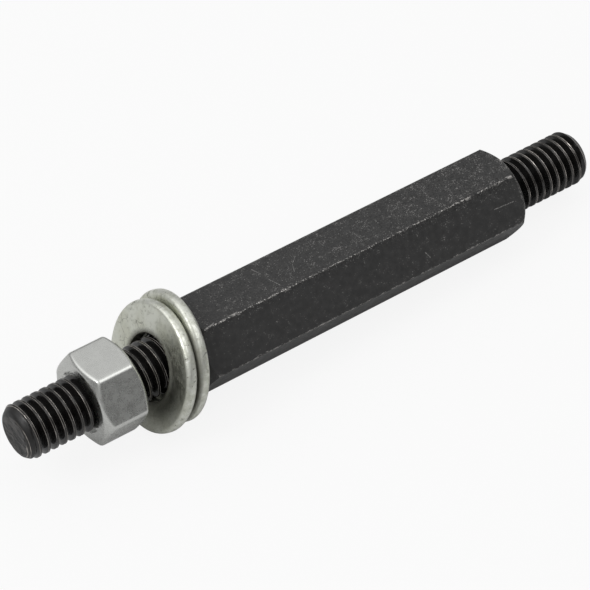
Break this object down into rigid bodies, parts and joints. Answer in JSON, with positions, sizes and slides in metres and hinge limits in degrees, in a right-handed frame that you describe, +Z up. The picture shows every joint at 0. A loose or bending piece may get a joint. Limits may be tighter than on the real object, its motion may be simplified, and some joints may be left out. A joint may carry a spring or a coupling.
{
  "type": "threaded extension rod",
  "caption": "Black hexagon bar with a threaded stud on each end; the longer stud carries a hexagon nut and loose flat washers, for spacing and clamping parts.",
  "frame": {"origin": "on the ground below the middle of the rod's length, where it lies at rest", "axes": "+X along the rod from the near (longer, nut) stud to the far stud, in plan; the rod's own axis falls towards +X by 2.58 degrees, because the washers prop up the near end; +Y away from the picture's camera; +Z up"},
  "size_m": [0.1134, 0.0218, 0.0212],
  "materials": {
    "black_oxide_steel": "satin black oxide, worn bright along the edges",
    "nut_zinc": "bright zinc plate, fine satin",
    "washer_zinc": "pale zinc plate, slightly yellow and specked with dirt"
  },
  "bodies": {
    "rod": {"hex_rod": "black_oxide_steel", "front_washer": "washer_zinc", "rear_washer": "washer_zinc"},
    "nut": {"hex_nut": "nut_zinc"}
  },
  "joints": [
    {"name": "nut_travel", "type": "slide", "parent": "rod", "child": "nut", "axis": [0.999, 0, -0.0453], "range_m": [-0.01111, 0.00159]}
  ]
}
